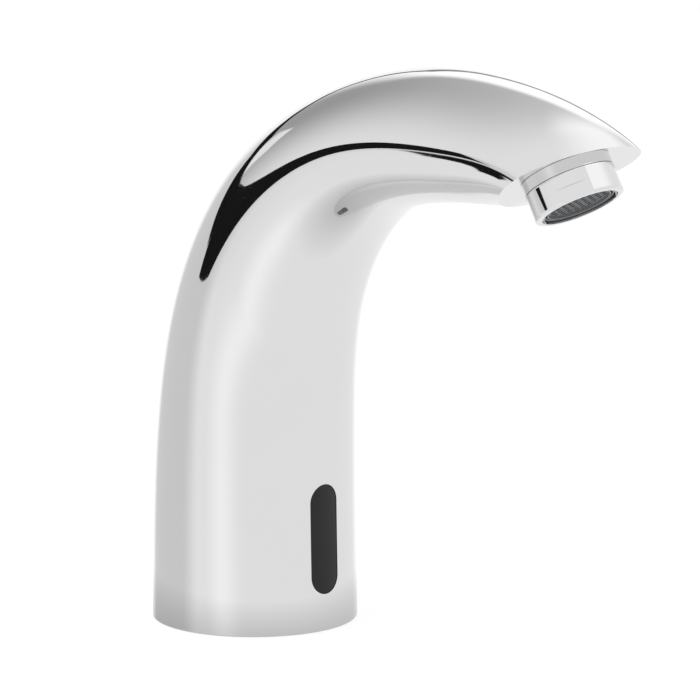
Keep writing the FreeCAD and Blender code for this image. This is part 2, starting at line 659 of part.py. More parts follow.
def perforated_disc(radius, bottom, top, hole, pitch, x=0.0):
    """Disc with round holes in a staggered pattern that stays a hole inside the rim."""
    holes = []
    row_height = pitch * math.sin(math.radians(60))
    rows = int(radius / row_height)
    for row in range(-rows, rows + 1):
        shift = pitch / 2 if row % 2 else 0.0
        for column in range(-rows - 1, rows + 2):
            cx = column * pitch + shift
            cy = row * row_height
            if math.hypot(cx, cy) < radius - 2 * hole:
                holes.append(through(hole, bottom, top, x + cx, cy))
    return rod(radius, bottom, top, x).cut(holes)


def inlet_strainer():
    bottom = STRAINER_Z + FACE_GAP
    return perforated_disc(STRAINER_RADIUS - SEAT_GAP, bottom, bottom + STRAINER_THICKNESS,
                           STRAINER_HOLE, STRAINER_PITCH, INLET_X)


def check_poppet():
    return fused([
        rod(POPPET_RADIUS, POPPET_BOTTOM, POPPET_TOP, INLET_X),
        rod(SEAT_RADIUS - LOOSE_GAP, POPPET_BOTTOM - SEAT_LAND / 2, POPPET_BOTTOM, INLET_X),
        rod(POPPET_STEM_RADIUS, POPPET_TOP, STEM_TOP, INLET_X),
    ])


def check_guide():
    guide = tube(CHECK_BORE_RADIUS - SEAT_GAP, POPPET_STEM_RADIUS + RUNNING_GAP,
                 GUIDE_Z, SPIGOT_TOP, INLET_X)
    for p in ring_of((CHECK_BORE_RADIUS + POPPET_STEM_RADIUS) / 2, 4):
        guide = guide.cut(through(GUIDE_PORT_RADIUS, GUIDE_Z, SPIGOT_TOP, INLET_X + p.x, p.y))
    return guide


def check_spring():
    return spring(CHECK_SPRING_RADIUS, POPPET_TOP + SPRING_END_GAP, GUIDE_Z - SPRING_END_GAP,
                  CHECK_SPRING_TURNS, INLET_X)


# Solenoid valve

def valve_body():
    body = fused([
        rod(NECK_RADIUS, COLLAR_TOP + FACE_GAP, VALVE_FLOOR, INLET_X),
        rod(VALVE_RADIUS, VALVE_FLOOR, VALVE_CLAMP, VALVE_X),
        block(VALVE_X - OUTLET_ARM_RADIUS, VALVE_X + OUTLET_ARM_RADIUS, 0, OUTLET_ARM_Y,
              VALVE_FLOOR, OUTLET_ARM_TOP),
        rod(OUTLET_ARM_RADIUS, VALVE_FLOOR, OUTLET_ARM_TOP, VALVE_X, OUTLET_ARM_Y),
        rod(TUBE_BORE - SEAT_GAP, OUTLET_ARM_TOP, OUTLET_ARM_TOP + NIPPLE_LENGTH,
            VALVE_X, OUTLET_ARM_Y),
    ] + [rod(EAR_RADIUS, VALVE_CLAMP - EAR_HEIGHT, VALVE_CLAMP, p.x, p.y) for p in ear_points()])
    floor = VALVE_CLAMP - RING_CHAMBER_DEPTH
    above = VALVE_CLAMP + OVERCUT
    body = body.cut(rod(SPIGOT_RADIUS + SEAT_GAP, 0, SOCKET_TOP, INLET_X))
    body = body.cut(tube(RING_CHAMBER_RADIUS, NOZZLE_RADIUS, floor, above, VALVE_X))
    body = body.cut(rod(NOZZLE_RADIUS, NOZZLE_TOP, above, VALVE_X))
    body = body.cut(rod(NOZZLE_BORE, OUTLET_BORE_HEIGHT, VALVE_CLAMP, VALVE_X))
    body = body.cut(through(SUPPLY_RADIUS, SOCKET_TOP, floor, SUPPLY_X))
    cross = Part.makeCylinder(NIPPLE_BORE, OUTLET_ARM_Y, V(VALVE_X, 0, OUTLET_BORE_HEIGHT), V(0, 1, 0))
    body = body.cut(cross)
    body = body.cut(rod(NIPPLE_BORE, OUTLET_BORE_HEIGHT, OUTLET_ARM_TOP + NIPPLE_LENGTH + OVERCUT,
                        VALVE_X, OUTLET_ARM_Y))
    for p in ear_points():
        body = body.cut(rod(VALVE_SCREW_RADIUS + SEAT_GAP, COVER_TOP - VALVE_SCREW_LENGTH - HOLE_ROOT,
                            above, p.x, p.y))
    return body


def diaphragm():
    edge = VALVE_RADIUS - DIAPHRAGM_EDGE
    return turned([
        (PILOT_RADIUS, DIAPHRAGM_BOTTOM), (DIAPHRAGM_CORE_RADIUS, DIAPHRAGM_BOTTOM),
        (RING_CHAMBER_RADIUS, VALVE_CLAMP), (edge, VALVE_CLAMP), (edge, COVER_BOTTOM),
        (RING_CHAMBER_RADIUS, COVER_BOTTOM - 2 * FACE_GAP), (DIAPHRAGM_CORE_RADIUS, DISC_BOTTOM),
        (PILOT_RADIUS, DISC_BOTTOM),
    ], VALVE_X)


def diaphragm_disc():
    return tube(DISC_RADIUS, PILOT_RADIUS, DISC_BOTTOM, DISC_TOP, VALVE_X)


def valve_cover():
    cover = fused([rod(VALVE_RADIUS, COVER_BOTTOM, COVER_TOP, VALVE_X)]
                  + [rod(EAR_RADIUS, COVER_BOTTOM, COVER_TOP, p.x, p.y) for p in ear_points()])
    cover = cover.cut(rod(RING_CHAMBER_RADIUS, COVER_BOTTOM - OVERCUT, COVER_ROOF, VALVE_X))
    cover = cover.cut(through(PLUNGER_RADIUS + LOOSE_GAP, COVER_BOTTOM, COVER_TOP, VALVE_X))
    for p in ear_points():
        cover = cover.cut(through(VALVE_SCREW_RADIUS + SEAT_GAP, COVER_BOTTOM, COVER_TOP, p.x, p.y))
    return cover


def valve_screws():
    return Part.makeCompound([
        headed_screw(VALVE_SCREW_RADIUS, COVER_TOP - VALVE_SCREW_LENGTH, COVER_TOP,
                     VALVE_HEAD_RADIUS, VALVE_HEAD_HEIGHT, p.x, p.y) for p in ear_points()])


def plunger():
    pocket = rod(SPRING_POCKET_RADIUS, SPRING_POCKET_FLOOR, PLUNGER_TOP + OVERCUT, VALVE_X)
    return rod(PLUNGER_RADIUS, PLUNGER_BOTTOM, PLUNGER_TOP, VALVE_X).cut(pocket)


def plunger_seal():
    return rod(SEAL_TIP_RADIUS, DISC_TOP + SEAT_GAP, PLUNGER_BOTTOM, VALVE_X)


def plunger_spring():
    return spring(PLUNGER_SPRING_RADIUS, SPRING_POCKET_FLOOR + SPRING_END_GAP,
                  CORE_BOTTOM - SPRING_END_GAP, PLUNGER_SPRING_TURNS, VALVE_X)


def core_tube():
    return tube(CORE_TUBE_RADIUS, CORE_TUBE_BORE, COVER_TOP, CORE_TUBE_TOP, VALVE_X).fuse(
        tube(CORE_FLANGE_RADIUS, CORE_TUBE_BORE, COVER_TOP, COVER_TOP + CORE_FLANGE_THICKNESS, VALVE_X))


def fixed_core():
    return rod(PLUNGER_RADIUS + RUNNING_GAP / 2, CORE_BOTTOM, CORE_TUBE_TOP, VALVE_X)


def solenoid_coil():
    coil = rod(COIL_RADIUS, COIL_BOTTOM, COIL_TOP, VALVE_X)
    terminal = block(VALVE_X - TERMINAL_HALF_WIDTH, VALVE_X + TERMINAL_HALF_WIDTH,
                     -TERMINAL_REACH, 0, TERMINAL_TOP - TERMINAL_HEIGHT, TERMINAL_TOP)
    return coil.fuse(terminal).cut(through(CORE_TUBE_RADIUS + SEAT_GAP, COIL_BOTTOM, COIL_TOP, VALVE_X))


def coil_yoke():
    back = VALVE_X - COIL_RADIUS - FACE_GAP
    front = VALVE_X + CORE_FLANGE_RADIUS
    side = YOKE_HALF_WIDTH
    yoke = fused([
        block(back - YOKE_THICKNESS, back, -side, side, YOKE_BOTTOM, YOKE_TOP),
        block(back, front, -side, side, YOKE_BOTTOM, YOKE_BOTTOM + YOKE_THICKNESS),
        block(back, front, -side, side, YOKE_TOP - YOKE_THICKNESS, YOKE_TOP),
    ])
    return yoke.cut(through(CORE_TUBE_RADIUS + SEAT_GAP, YOKE_BOTTOM, YOKE_TOP, VALVE_X))


def coil_nut():
    nut = hexagon(NUT_FLATS, YOKE_TOP, NUT_TOP, VALVE_X)
    return nut.cut(through(CORE_TUBE_RADIUS + THREAD_GAP, YOKE_TOP, NUT_TOP, VALVE_X))


# Water tube and its ends

def tube_route():
    start = V(VALVE_X, OUTLET_ARM_Y, OUTLET_ARM_TOP + NIPPLE_LENGTH - NIPPLE_COVER)
    way = [V(x * OUTLET_REACH, y * OUTLET_ARM_Y, z * OUTLET_RISE) for x, y, z in TUBE_WAY]
    level = V(TUBE_LEVEL_SHARE * OUTLET_REACH, 0, TUBE_END_Z)
    end = V(PAD_X - NIPPLE_LENGTH + NIPPLE_COVER, 0, TUBE_END_Z)
    return [start, start + UP * TUBE_UPRIGHT] + way + [level, end]


def water_tube():
    return swept(tube_route(), TUBE_RADIUS, TUBE_BORE)


def clamp_lower():
    start = tube_route()[0]
    bottom = start.z + CLAMP_INSET
    return tube(CLAMP_BORE + CLAMP_THICKNESS, CLAMP_BORE, bottom, bottom + CLAMP_WIDTH, start.x, start.y)


def clamp_upper():
    back = tube_route()[-1].x - CLAMP_INSET - CLAMP_WIDTH
    outer = level_rod(CLAMP_BORE + CLAMP_THICKNESS, back, TUBE_END_Z, CLAMP_WIDTH)
    return outer.cut(level_rod(CLAMP_BORE, back, TUBE_END_Z, CLAMP_WIDTH))


def outlet_nipple():
    tip = PAD_X - NIPPLE_LENGTH
    nipple = fused([
        level_rod(TUBE_BORE - SEAT_GAP, tip, TUBE_END_Z, NIPPLE_LENGTH),
        level_rod(NIPPLE_SEAT_RADIUS - THREAD_GAP, PAD_X, TUBE_END_Z, NIPPLE_SEAT_DEPTH - FACE_GAP),
        level_rod(NIPPLE_SEAT_RADIUS + NIPPLE_SHOULDER, PAD_X - NIPPLE_SHOULDER, TUBE_END_Z,
                  NIPPLE_SHOULDER),
    ])
    length = NIPPLE_LENGTH + NIPPLE_SEAT_DEPTH
    return nipple.cut(level_rod(NIPPLE_BORE, tip - OVERCUT, TUBE_END_Z, length + 2 * OVERCUT))


# Sensor behind the window

def sensor_window():
    lens = slot_prism(WINDOW_HALF_WIDTH - WINDOW_GAP, WINDOW_HALF_LENGTH - WINDOW_GAP,
                      FLANGE_BACK, 2 * BASE_RADIUS).common(spout_solid(WINDOW_RECESS))
    flange = slot_prism(WINDOW_HALF_WIDTH + WINDOW_FLANGE, FLANGE_HALF_LENGTH,
                        FLANGE_BACK, 2 * BASE_RADIUS)
    inside = rod(BORE_RADIUS - GASKET_THICKNESS - SEAT_GAP, 0, 2 * WINDOW_HEIGHT)
    return lens.fuse(flange.common(inside))


def window_gasket():
    outer = slot_prism(WINDOW_HALF_WIDTH + WINDOW_FLANGE, FLANGE_HALF_LENGTH, 0, 2 * BASE_RADIUS)
    inner = slot_prism(WINDOW_HALF_WIDTH + GASKET_MARGIN, WINDOW_HALF_LENGTH + GASKET_MARGIN,
                       -OVERCUT, 2 * BASE_RADIUS + OVERCUT)
    shell = tube(BORE_RADIUS - SEAT_GAP / 2, BORE_RADIUS - GASKET_THICKNESS, 0, 2 * WINDOW_HEIGHT)
    return shell.common(outer).cut(inner)


def sensor_housing():
    case = block(SENSOR_BACK, SENSOR_FRONT, -SENSOR_HALF_WIDTH, SENSOR_HALF_WIDTH,
                 SENSOR_BOTTOM, SENSOR_TOP)
    inner = SENSOR_HALF_WIDTH - SENSOR_WALL
    case = case.cut(block(SENSOR_BACK + SENSOR_WALL, SENSOR_FRONT + OVERCUT, -inner, inner,
                          SENSOR_BOTTOM + SENSOR_WALL, SENSOR_TOP - SENSOR_WALL))
    half = PIN_HALF_WIDTH + LOOSE_GAP
    return case.cut(block(SENSOR_BACK - OVERCUT, SENSOR_BACK + SENSOR_WALL + OVERCUT, -half, half,
                          PIN_BOTTOM - LOOSE_GAP, PIN_BOTTOM + PIN_HEIGHT + LOOSE_GAP))


def sensor_board():
    half = SENSOR_HALF_WIDTH - SENSOR_WALL - FACE_GAP
    return block(BOARD_FACE - BOARD_THICKNESS, BOARD_FACE, -half, half,
                 SENSOR_BOTTOM + SENSOR_WALL + FACE_GAP, SENSOR_TOP - SENSOR_WALL - FACE_GAP)


def eye(radius, z, barrel):
    """Round-nosed diode on the board, looking out of the window."""
    body = level_rod(radius, BOARD_FACE, z, barrel)
    collar = level_rod(radius + EYE_COLLAR, BOARD_FACE, z, EYE_COLLAR_HEIGHT)
    nose = Part.makeSphere(radius, V(BOARD_FACE + barrel, 0, z))
    room = block(BOARD_FACE, FLANGE_BACK, -SENSOR_HALF_WIDTH, SENSOR_HALF_WIDTH, SENSOR_BOTTOM, SENSOR_TOP)
    return body.fuse(nose).fuse(collar).common(room)


def board_chip():
    back = BOARD_FACE - BOARD_THICKNESS
    middle = WINDOW_HEIGHT - CHIP_DROP
    return block(back - CHIP_THICKNESS, back, -CHIP_SIZE / 2, CHIP_SIZE / 2,
                 middle - CHIP_SIZE / 2, middle + CHIP_SIZE / 2)


def lead_plug():
    body = block(BRACKET_FACE - PLUG_DEPTH, BRACKET_FACE, -PLUG_HALF_WIDTH, PLUG_HALF_WIDTH,
                 PLUG_BOTTOM, PLUG_BOTTOM + PLUG_LENGTH)
    pins = block(BRACKET_FACE, BOARD_FACE - BOARD_THICKNESS, -PIN_HALF_WIDTH, PIN_HALF_WIDTH,
                 PIN_BOTTOM, PIN_BOTTOM + PIN_HEIGHT)
    return body.fuse(pins)


def valve_lead():
    plug_x = BRACKET_FACE - PLUG_DEPTH / 2
    end_y = LEAD_INSET - TERMINAL_REACH
    top = TERMINAL_TOP + LEAD_RISE
    return swept([
        V(plug_x, 0, TERMINAL_TOP),
        V(plug_x, 0, top),
        V((plug_x + VALVE_X) / 2, end_y / 2, top + LEAD_ARCH),
        V(VALVE_X, end_y, top),
        V(VALVE_X, end_y, TERMINAL_TOP),
    ], LEAD_RADIUS)


def sensor_bracket():
    foot = block(BRACKET_FACE - BRACKET_FOOT, BRACKET_FACE, -SENSOR_HALF_WIDTH, SENSOR_HALF_WIDTH,
                 PLATE_THICKNESS, PLATE_THICKNESS + BRACKET_THICKNESS)
    bracket = foot.fuse(block(BRACKET_FACE - BRACKET_THICKNESS, BRACKET_FACE, -SENSOR_HALF_WIDTH,
                              SENSOR_HALF_WIDTH, PLATE_THICKNESS, BRACKET_TOP))
    for side in (-1, 1):
        bracket = bracket.cut(through(BRACKET_SCREW_RADIUS + SEAT_GAP, PLATE_THICKNESS,
                                      PLATE_THICKNESS + BRACKET_THICKNESS,
                                      BRACKET_SCREW_X, side * BRACKET_SCREW_SPREAD))
    return bracket


def bracket_screws():
    return Part.makeCompound([
        headed_screw(BRACKET_SCREW_RADIUS, PLATE_THICKNESS - BRACKET_SCREW_BITE,
                     PLATE_THICKNESS + BRACKET_THICKNESS, BRACKET_HEAD_RADIUS, BRACKET_HEAD_HEIGHT,
                     BRACKET_SCREW_X, side * BRACKET_SCREW_SPREAD) for side in (-1, 1)])


# Aerator, drawn along the water axis and then turned to the outlet

def aerator_housing():
    shoulder = BOSS_HEIGHT + AERATOR_SHOULDER_GAP
    thread = OUTLET_THREAD_RADIUS - THREAD_GAP
    r = AERATOR_RADIUS
    knee = RIM_KNEE * RIM_ROUND
    housing = turned([
        (AERATOR_BORE, -AERATOR_THREAD), (thread, -AERATOR_THREAD), (thread, shoulder),
        (r - GROOVE_CHAMFER, shoulder), (r, shoulder + GROOVE_CHAMFER), (r, AERATOR_END - RIM_ROUND),
        (r - knee, AERATOR_END - knee), (r - RIM_ROUND, AERATOR_END), (AERATOR_MOUTH, AERATOR_END),
        (AERATOR_MOUTH, LEDGE_END), (AERATOR_LEDGE, LEDGE_END), (AERATOR_LEDGE, LEDGE_DEPTH),
        (AERATOR_BORE, LEDGE_DEPTH),
    ])
    for side in (0, 180):
        flat = block(r - FLAT_INSET, 2 * r, -r, r, AERATOR_END - FLAT_HEIGHT, AERATOR_END + OVERCUT)
        flat.rotate(V(0, 0, 0), UP, FLAT_DIRECTION + side)
        housing = housing.cut(flat)
    return at_outlet(housing)


def aerator_cup():
    cup = fused([
        rod(CUP_RADIUS, CUP_TOP, LEDGE_DEPTH - SEAT_GAP),
        rod(NOSE_RADIUS, LEDGE_DEPTH - OVERCUT, NOSE_END),
    ]).cut(through(CUP_BORE, CUP_TOP, NOSE_END))
    groove = tube(NOSE_RADIUS - NOSE_WALL, CUP_BORE + INNER_WALL, NOSE_END - RING_GROOVE_DEPTH,
                  NOSE_END + OVERCUT)
    return at_outlet(cup.cut(groove))


def aerator_grid():
    """Disc of staggered rectangular cells."""
    pitch_x = CELL_LENGTH + GRID_RIB
    pitch_y = CELL_WIDTH + GRID_RIB
    rows = int(CUP_BORE / pitch_y)
    bottom = GRID_FACE - GRID_THICKNESS
    cells = []
    for row in range(-rows, rows + 1):
        shift = pitch_x / 2 if row % 2 else 0.0
        for column in range(-rows, rows + 1):
            cx = column * pitch_x + shift
            cy = row * pitch_y
            if math.hypot(abs(cx) - CELL_LENGTH / 4, abs(cy)) < CUP_BORE - CELL_MARGIN:
                cells.append(block(cx - CELL_LENGTH / 2, cx + CELL_LENGTH / 2, cy - CELL_WIDTH / 2,
                                   cy + CELL_WIDTH / 2, bottom - OVERCUT, GRID_FACE + OVERCUT))
    room = through(CUP_BORE - GRID_EDGE, bottom, GRID_FACE)
    return at_outlet(rod(INSERT_RADIUS, bottom, GRID_FACE).cut(Part.makeCompound(cells).common(room)))


def mixing_screens():
    return Part.makeCompound([
        at_outlet(perforated_disc(INSERT_RADIUS, z, z + SCREEN_THICKNESS, SCREEN_HOLE, SCREEN_PITCH))
        for z in SCREEN_DEPTHS])


def ring_holes(rings, radius, bottom, top):
    """Cutting rods in rings round the Z axis, from (circle, count) pairs."""
    return [through(radius, bottom, top, p.x, p.y)
            for circle, count in rings for p in ring_of(circle, count)]


def jet_plate():
    bottom = JET_PLATE_TOP + JET_PLATE_THICKNESS
    disc = rod(INSERT_RADIUS, JET_PLATE_TOP, bottom)
    disc = disc.cut(rod(JET_WELL_RADIUS, JET_PLATE_TOP, JET_PLATE_TOP + JET_WELL_DEPTH))
    return at_outlet(disc.cut(ring_holes(JET_RINGS, JET_RADIUS, JET_PLATE_TOP, bottom)))


def flow_regulator():
    floor = REGULATOR_END - REGULATOR_FLOOR
    groove_inner, groove_outer = REGULATOR_GROOVE
    body = tube(INSERT_RADIUS, REGULATOR_BORE, REGULATOR_TOP, REGULATOR_END)
    body = body.cut(tube(groove_outer, groove_inner, REGULATOR_TOP, floor))
    body = body.cut(ring_holes([(REGULATOR_HOLE_CIRCLE, REGULATOR_HOLES)], REGULATOR_HOLE,
                               REGULATOR_TOP, REGULATOR_END))
    return at_outlet(fused([
        body,
        rod(POST_RADIUS, REGULATOR_TOP - POST_RISE, REGULATOR_END),
        block(-SPOKE_REACH, SPOKE_REACH, -SPOKE_HALF_WIDTH, SPOKE_HALF_WIDTH, floor, REGULATOR_END),
    ]))


def regulator_oring():
    floor = REGULATOR_END - REGULATOR_FLOOR
    return at_outlet(torus(RING_RADIUS, RING_SECTION, floor - RING_SECTION))


def aerator_strainer():
    bottom = CUP_TOP - BASKET_DEPTH
    rim = CUP_TOP - BASKET_RIM
    basket = turned([
        (0, bottom), (BASKET_RADIUS, bottom), (CUP_RADIUS - BASKET_WALL, rim), (CUP_RADIUS, rim),
        (CUP_RADIUS, CUP_TOP), (BASKET_RADIUS + BASKET_RIM, CUP_TOP),
        (BASKET_RADIUS - BASKET_WALL, bottom + BASKET_WALL), (0, bottom + BASKET_WALL)])
    return at_outlet(basket.cut(ring_holes(BASKET_RINGS, BASKET_HOLE, bottom, CUP_TOP)))


def aerator_washer():
    outer = OUTLET_THREAD_RADIUS - LOOSE_GAP
    return at_outlet(tube(outer, outer - WASHER_WIDTH, -OUTLET_THREAD_DEPTH + SEAT_GAP,
                          -AERATOR_THREAD - SEAT_GAP))


NODES = {
    "spout_body": spout_body,
    "base_plate": base_plate,
    "base_seal": base_seal,
    "foot_screws": lambda: Part.makeCompound([foot_screw(p) for p in foot_points()]),
    "cable_grommet": cable_grommet,
    "inlet_fitting": inlet_fitting,
    "inlet_oring": inlet_oring,
    "inlet_strainer": inlet_strainer,
    "check_poppet": check_poppet,
    "check_guide": check_guide,
    "check_spring": check_spring,
    "valve_body": valve_body,
    "diaphragm": diaphragm,
    "diaphragm_disc": diaphragm_disc,
    "valve_cover": valve_cover,
    "valve_screws": valve_screws,
    "plunger": plunger,
    "plunger_seal": plunger_seal,
    "plunger_spring": plunger_spring,
    "core_tube": core_tube,
    "fixed_core": fixed_core,
    "solenoid_coil": solenoid_coil,
    "coil_yoke": coil_yoke,
    "coil_nut": coil_nut,
    "water_tube": water_tube,
    "clamp_lower": clamp_lower,
    "clamp_upper": clamp_upper,
    "outlet_nipple": outlet_nipple,
    "sensor_window": sensor_window,
    "window_gasket": window_gasket,
    "sensor_housing": sensor_housing,
    "sensor_board": sensor_board,
    "ir_emitter": lambda: eye(EYE_RADIUS, WINDOW_HEIGHT + EYE_SPREAD, EYE_BARREL),
    "ir_receiver": lambda: eye(EYE_RADIUS, WINDOW_HEIGHT - EYE_SPREAD, EYE_BARREL),
    "status_led": lambda: eye(STATUS_RADIUS, WINDOW_HEIGHT, STATUS_BARREL),
    "board_chip": board_chip,
    "lead_plug": lead_plug,
    "valve_lead": valve_lead,
    "sensor_bracket": sensor_bracket,
    "bracket_screws": bracket_screws,
    "aerator_housing": aerator_housing,
    "aerator_cup": aerator_cup,
    "aerator_grid": aerator_grid,
    "mixing_screens": mixing_screens,
    "jet_plate": jet_plate,
    "flow_regulator": flow_regulator,
    "regulator_oring": regulator_oring,
    "aerator_strainer": aerator_strainer,
    "aerator_washer": aerator_washer,
}

os.makedirs("parts", exist_ok=True)
for name, make in NODES.items():
    shape = make()
    print(name, len(shape.Solids), round(shape.Volume, 1), shape.isValid())
    shape.exportStep("parts/" + name + ".step")
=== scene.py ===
import json
import math

import bmesh
import bpy
import numpy as np
from mathutils import Matrix, Quaternion, Vector
from mathutils.bvhtree import BVHTree
from mathutils.interpolate import poly_3d_calc


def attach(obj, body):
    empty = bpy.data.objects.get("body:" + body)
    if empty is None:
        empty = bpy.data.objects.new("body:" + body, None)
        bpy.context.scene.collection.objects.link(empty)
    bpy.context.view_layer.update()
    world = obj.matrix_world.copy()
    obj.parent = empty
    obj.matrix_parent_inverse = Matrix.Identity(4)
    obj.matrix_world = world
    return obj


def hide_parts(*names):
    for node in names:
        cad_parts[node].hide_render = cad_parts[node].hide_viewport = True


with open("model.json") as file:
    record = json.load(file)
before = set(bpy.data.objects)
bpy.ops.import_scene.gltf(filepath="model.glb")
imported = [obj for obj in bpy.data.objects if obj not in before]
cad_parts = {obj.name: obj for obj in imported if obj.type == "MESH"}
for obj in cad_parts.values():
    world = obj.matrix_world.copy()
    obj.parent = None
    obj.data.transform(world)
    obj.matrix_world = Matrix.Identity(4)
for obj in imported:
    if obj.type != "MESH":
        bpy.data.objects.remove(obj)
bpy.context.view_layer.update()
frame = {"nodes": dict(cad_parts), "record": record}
scene = bpy.context.scene
print("tap frame loaded:", len(frame["nodes"]), "nodes")


# camera: a long lens, to the right of the spout and a little above
cameraLook = {
    "lens": 4500 / 700 * 36,
    "azimuth": 44.63,
    "elevation": 9.97,
    "distance": 1.2906,
    "target": (0.04, 0.0, 0.08),
    "tilt": 0.18,
}


def placeCamera(look):
    data = bpy.data.cameras.new("tapCamera")
    data.sensor_width = 36
    data.lens = look["lens"]
    data.clip_start = 0.01
    data.clip_end = 100
    turn, rise = math.radians(look["azimuth"]), math.radians(look["elevation"])
    back = Vector((math.cos(turn) * math.cos(rise), -math.sin(turn) * math.cos(rise), math.sin(rise)))
    camera = bpy.data.objects.new("tapCamera", data)
    scene.collection.objects.link(camera)
    camera.rotation_mode = "QUATERNION"
    camera.location = Vector(look["target"]) + back * look["distance"]
    tilt = Quaternion((1, 0, 0), math.radians(look["tilt"]))
    camera.rotation_quaternion = (-back).to_track_quat("-Z", "Y") @ tilt
    scene.camera = camera


placeCamera(cameraLook)
scene.view_settings.view_transform = "Standard"
print("camera placed")


# small helpers for node trees
def addNode(tree, kind, **settings):
    made = tree.nodes.new(kind)
    for name, value in settings.items():
        setattr(made, name, value)
    return made


def plug(tree, value, socket):
    if isinstance(value, (int, float, tuple)):
        socket.default_value = value
    else:
        tree.links.new(value, socket)


def calc(tree, operation, *values):
    made = addNode(tree, "ShaderNodeMath", operation=operation)
    for value, socket in zip(values, made.inputs):
        plug(tree, value, socket)
    return made.outputs[0]


def soft(tree, value, start, end, low=0.0, high=1.0):
    made = addNode(tree, "ShaderNodeMapRange", interpolation_type="SMOOTHSTEP")
    for amount, socket in zip((value, start, end, low, high), made.inputs):
        plug(tree, amount, socket)
    return made.outputs[0]


def between(tree, value, opens, closes):
    # 1 between two soft edges, each given by where it starts and where it is complete
    return calc(tree, "MULTIPLY", soft(tree, value, *opens), soft(tree, value, *closes))


def bell(tree, distance):
    # a soft hump, 1 at no distance
    square = calc(tree, "MULTIPLY", distance, distance)
    return calc(tree, "EXPONENT", calc(tree, "MULTIPLY", square, -1.0))


def blend(tree, mask, first, second):
    made = addNode(tree, "ShaderNodeMix", data_type="FLOAT")
    plug(tree, mask, made.inputs[0])
    plug(tree, first, made.inputs[2])
    plug(tree, second, made.inputs[3])
    return made.outputs[0]


def tint(tree, mask, first, second):
    made = addNode(tree, "ShaderNodeMix", data_type="RGBA")
    plug(tree, mask, made.inputs[0])
    plug(tree, first, made.inputs[6])
    plug(tree, second, made.inputs[7])
    return made.outputs[2]


def track(tree, value, points):
    # a drawn line through a few points, straight between them
    xs, ys = [p[0] for p in points], [p[1] for p in points]
    low, high = min(ys), max(ys)
    across = addNode(tree, "ShaderNodeMapRange")
    for amount, socket in zip((value, xs[0], xs[-1], 0.0, 1.0), across.inputs):
        plug(tree, amount, socket)
    made = addNode(tree, "ShaderNodeFloatCurve")
    line = made.mapping.curves[0].points
    while len(line) < len(points):
        line.new(0.5, 0.5)
    for dot, (x, y) in zip(line, points):
        dot.location = ((x - xs[0]) / (xs[-1] - xs[0]), (y - low) / (high - low))
        dot.handle_type = "VECTOR"
    made.mapping.update()
    plug(tree, across.outputs[0], made.inputs[1])
    return calc(tree, "MULTIPLY_ADD", made.outputs[0], high - low, low)


# the studio round the tap, as metal sees it: a few plain shapes placed by compass direction
# ("turn") and height ("rise") in degrees; strength 1 is white
studioLook = {
    "white": 1.0,
    "plainLight": 0.8,
    "front": ((104, 114), (262, 240)),
    "horizon": (-5, 12),
    "fade": {"turn": 165, "rise": 25, "reach": 75, "dark": 0.4},
    "corner": {"turn": (124, 98), "rise": ((22, 38), (85, 45)), "light": 1.25},
    "window": {"turn": ((100, 116), (157, 137)), "rise": (35, 27), "light": 1.3},
    "peak": {"line": [(167, 17), (181, 23), (190, 16)], "turn": ((168, 178), (190, 187)), "edge": 0.6},
    "board": {"turn": ((152, 168), (252, 225)), "foot": (-12, -20), "level": 0.77, "beside": 1.1},
    "flag": {
        "middle": [(114, 8), (128, 9), (138, 19), (148, 14), (170, 15), (205, 3), (232, -6)],
        "half": [(114, 3), (150, 1), (205, 4)],
        "ends": ((112, 118), (205, 202)),
        "crossing": 1.5,
        "softTurn": (126, 152),
        "softEdge": (2.2, 0.35),
        "inward": 0.6,
        "darkTurn": (128, 150),
        "pale": 0.35,
        "dark": 0.01,
    },
    "glow": {"middle": [(-60, 280), (-28, 302), (-12, 280)], "wide": [(-60, 30), (-6, 14)],
             "rise": ((4, -9), (-74, -55)), "gain": 0.17},
    "shade": {"turn": 243, "wide": 10, "rise": ((4, -8), (-34, -22)), "gain": -0.05},
    "arm": {"path": [(-32, 213), (-22, 225), (-11, 231)], "half": 1.05, "widen": -0.05, "edge": 0.35,
            "rise": ((-32.5, -31), (-15, -17))},
}


def upperStudio(tree, look, where, turn, rise):
    # a grey fade round one direction, with a bright corner and a bright window
    fade = look["fade"]
    fadeTurn, fadeRise = math.radians(fade["turn"]), math.radians(fade["rise"])
    near = addNode(tree, "ShaderNodeVectorMath", operation="DOT_PRODUCT")
    tree.links.new(where, near.inputs[0])
    near.inputs[1].default_value = (math.cos(fadeTurn) * math.cos(fadeRise),
                                    math.sin(fadeTurn) * math.cos(fadeRise), math.sin(fadeRise))
    away = calc(tree, "DEGREES", calc(tree, "ARCCOSINE", near.outputs["Value"]))
    upper = soft(tree, away, 0.0, fade["reach"], fade["dark"], look["white"])

    corner = between(tree, rise, *look["corner"]["rise"])
    corner = calc(tree, "MULTIPLY", corner, soft(tree, turn, *look["corner"]["turn"]))
    upper = blend(tree, corner, upper, look["corner"]["light"])

    window = between(tree, turn, *look["window"]["turn"])
    window = calc(tree, "MULTIPLY", window, soft(tree, rise, *look["window"]["rise"]))
    upper = blend(tree, window, upper, look["window"]["light"])

    # the white peak that stands up from the flag
    top = calc(tree, "SUBTRACT", rise, track(tree, turn, look["peak"]["line"]))
    peak = between(tree, turn, *look["peak"]["turn"])
    peak = calc(tree, "MULTIPLY", peak, soft(tree, top, look["peak"]["edge"], -look["peak"]["edge"]))
    return blend(tree, peak, upper, look["white"])


def lowerStudio(tree, look, turn, rise):
    board = between(tree, turn, *look["board"]["turn"])
    lower = blend(tree, board, look["board"]["beside"], look["board"]["level"])
    return blend(tree, soft(tree, rise, *look["board"]["foot"]), lower, look["white"])


